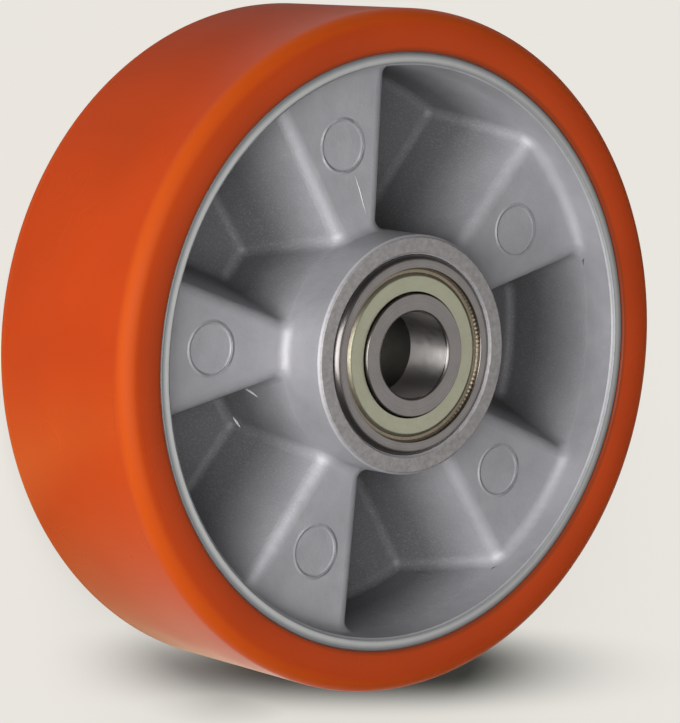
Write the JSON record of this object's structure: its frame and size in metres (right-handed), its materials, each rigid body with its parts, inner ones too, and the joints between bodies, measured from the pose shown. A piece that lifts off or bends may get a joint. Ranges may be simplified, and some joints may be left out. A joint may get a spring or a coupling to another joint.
{
  "type": "heavy duty polyurethane wheel",
  "caption": "Heavy duty wheel: orange polyurethane tread on a spoked die-cast aluminium centre, with shielded ball bearings for a plain axle.",
  "frame": {"origin": "centre of the wheel, on the axle line midway between the two bearing end faces", "axes": "+Z along the axle line, out of the front face that carries the ejector marks; X and Y in the plane of the wheel, with +Y pointing up in the picture"},
  "size_m": [0.16, 0.16, 0.058],
  "materials": {
    "tread_urethane": "semi-gloss",
    "cast_aluminium": "matte",
    "bearing_steel": "polished",
    "shield_zinc": "satin",
    "cage_steel": "satin",
    "ball_steel": "polished",
    "spacer_steel": "satin"
  },
  "bodies": {
    "axle_rings": {"front_inner_ring": "bearing_steel", "rear_inner_ring": "bearing_steel", "spacer_tube": "spacer_steel"},
    "wheel": {"tread": "tread_urethane", "wheel_centre": "cast_aluminium", "front_outer_ring": "bearing_steel", "front_outside_shield": "shield_zinc", "front_inside_shield": "shield_zinc", "rear_outer_ring": "bearing_steel", "rear_outside_shield": "shield_zinc", "rear_inside_shield": "shield_zinc"},
    "front_cage": {"front_cage_outside_half": "cage_steel", "front_cage_inside_half": "cage_steel", "front_cage_rivets": "cage_steel"},
    "front_ball_1": {"front_ball_1": "ball_steel"},
    "front_ball_2": {"front_ball_2": "ball_steel"},
    "front_ball_3": {"front_ball_3": "ball_steel"},
    "front_ball_4": {"front_ball_4": "ball_steel"},
    "front_ball_5": {"front_ball_5": "ball_steel"},
    "front_ball_6": {"front_ball_6": "ball_steel"},
    "front_ball_7": {"front_ball_7": "ball_steel"},
    "front_ball_8": {"front_ball_8": "ball_steel"},
    "rear_cage": {"rear_cage_outside_half": "cage_steel", "rear_cage_inside_half": "cage_steel", "rear_cage_rivets": "cage_steel"},
    "rear_ball_1": {"rear_ball_1": "ball_steel"},
    "rear_ball_2": {"rear_ball_2": "ball_steel"},
    "rear_ball_3": {"rear_ball_3": "ball_steel"},
    "rear_ball_4": {"rear_ball_4": "ball_steel"},
    "rear_ball_5": {"rear_ball_5": "ball_steel"},
    "rear_ball_6": {"rear_ball_6": "ball_steel"},
    "rear_ball_7": {"rear_ball_7": "ball_steel"},
    "rear_ball_8": {"rear_ball_8": "ball_steel"}
  },
  "joints": [
    {"name": "wheel_spin", "type": "hinge", "parent": "axle_rings", "child": "wheel", "pos_m": [0, 0, 0], "axis": [0, 0, 1], "continuous": true},
    {"name": "front_cage_turn", "type": "hinge", "parent": "axle_rings", "child": "front_cage", "pos_m": [0, 0, 0.022], "axis": [0, 0, 1], "continuous": true},
    {"name": "front_ball_1_roll", "type": "hinge", "parent": "front_cage", "child": "front_ball_1", "pos_m": [0.01675, 0, 0.022], "axis": [0, 0, 1], "continuous": true},
    {"name": "front_ball_2_roll", "type": "hinge", "parent": "front_cage", "child": "front_ball_2", "pos_m": [0.01184, 0.01184, 0.022], "axis": [0, 0, 1], "continuous": true},
    {"name": "front_ball_3_roll", "type": "hinge", "parent": "front_cage", "child": "front_ball_3", "pos_m": [0, 0.01675, 0.022], "axis": [0, 0, 1], "continuous": true},
    {"name": "front_ball_4_roll", "type": "hinge", "parent": "front_cage", "child": "front_ball_4", "pos_m": [-0.01184, 0.01184, 0.022], "axis": [0, 0, 1], "continuous": true},
    {"name": "front_ball_5_roll", "type": "hinge", "parent": "front_cage", "child": "front_ball_5", "pos_m": [-0.01675, 0, 0.022], "axis": [0, 0, 1], "continuous": true},
    {"name": "front_ball_6_roll", "type": "hinge", "parent": "front_cage", "child": "front_ball_6", "pos_m": [-0.01184, -0.01184, 0.022], "axis": [0, 0, 1], "continuous": true},
    {"name": "front_ball_7_roll", "type": "hinge", "parent": "front_cage", "child": "front_ball_7", "pos_m": [0, -0.01675, 0.022], "axis": [0, 0, 1], "continuous": true},
    {"name": "front_ball_8_roll", "type": "hinge", "parent": "front_cage", "child": "front_ball_8", "pos_m": [0.01184, -0.01184, 0.022], "axis": [0, 0, 1], "continuous": true},
    {"name": "rear_cage_turn", "type": "hinge", "parent": "axle_rings", "child": "rear_cage", "pos_m": [0, 0, -0.022], "axis": [0, 0, 1], "continuous": true},
    {"name": "rear_ball_1_roll", "type": "hinge", "parent": "rear_cage", "child": "rear_ball_1", "pos_m": [0.01675, 0, -0.022], "axis": [0, 0, 1], "continuous": true},
    {"name": "rear_ball_2_roll", "type": "hinge", "parent": "rear_cage", "child": "rear_ball_2", "pos_m": [0.01184, -0.01184, -0.022], "axis": [0, 0, 1], "continuous": true},
    {"name": "rear_ball_3_roll", "type": "hinge", "parent": "rear_cage", "child": "rear_ball_3", "pos_m": [0, -0.01675, -0.022], "axis": [0, 0, 1], "continuous": true},
    {"name": "rear_ball_4_roll", "type": "hinge", "parent": "rear_cage", "child": "rear_ball_4", "pos_m": [-0.01184, -0.01184, -0.022], "axis": [0, 0, 1], "continuous": true},
    {"name": "rear_ball_5_roll", "type": "hinge", "parent": "rear_cage", "child": "rear_ball_5", "pos_m": [-0.01675, 0, -0.022], "axis": [0, 0, 1], "continuous": true},
    {"name": "rear_ball_6_roll", "type": "hinge", "parent": "rear_cage", "child": "rear_ball_6", "pos_m": [-0.01184, 0.01184, -0.022], "axis": [0, 0, 1], "continuous": true},
    {"name": "rear_ball_7_roll", "type": "hinge", "parent": "rear_cage", "child": "rear_ball_7", "pos_m": [0, 0.01675, -0.022], "axis": [0, 0, 1], "continuous": true},
    {"name": "rear_ball_8_roll", "type": "hinge", "parent": "rear_cage", "child": "rear_ball_8", "pos_m": [0.01184, 0.01184, -0.022], "axis": [0, 0, 1], "continuous": true}
  ],
  "couplings": [
    {"joint": "front_cage_turn", "follows": "wheel_spin", "ratio": 0.61848},
    {"joint": "front_ball_1_roll", "follows": "wheel_spin", "ratio": 1.9916},
    {"joint": "front_ball_2_roll", "follows": "wheel_spin", "ratio": 1.9916},
    {"joint": "front_ball_3_roll", "follows": "wheel_spin", "ratio": 1.9916},
    {"joint": "front_ball_4_roll", "follows": "wheel_spin", "ratio": 1.9916},
    {"joint": "front_ball_5_roll", "follows": "wheel_spin", "ratio": 1.9916},
    {"joint": "front_ball_6_roll", "follows": "wheel_spin", "ratio": 1.9916},
    {"joint": "front_ball_7_roll", "follows": "wheel_spin", "ratio": 1.9916},
    {"joint": "front_ball_8_roll", "follows": "wheel_spin", "ratio": 1.9916},
    {"joint": "rear_cage_turn", "follows": "wheel_spin", "ratio": 0.61848},
    {"joint": "rear_ball_1_roll", "follows": "wheel_spin", "ratio": 1.9916},
    {"joint": "rear_ball_2_roll", "follows": "wheel_spin", "ratio": 1.9916},
    {"joint": "rear_ball_3_roll", "follows": "wheel_spin", "ratio": 1.9916},
    {"joint": "rear_ball_4_roll", "follows": "wheel_spin", "ratio": 1.9916},
    {"joint": "rear_ball_5_roll", "follows": "wheel_spin", "ratio": 1.9916},
    {"joint": "rear_ball_6_roll", "follows": "wheel_spin", "ratio": 1.9916},
    {"joint": "rear_ball_7_roll", "follows": "wheel_spin", "ratio": 1.9916},
    {"joint": "rear_ball_8_roll", "follows": "wheel_spin", "ratio": 1.9916}
  ]
}
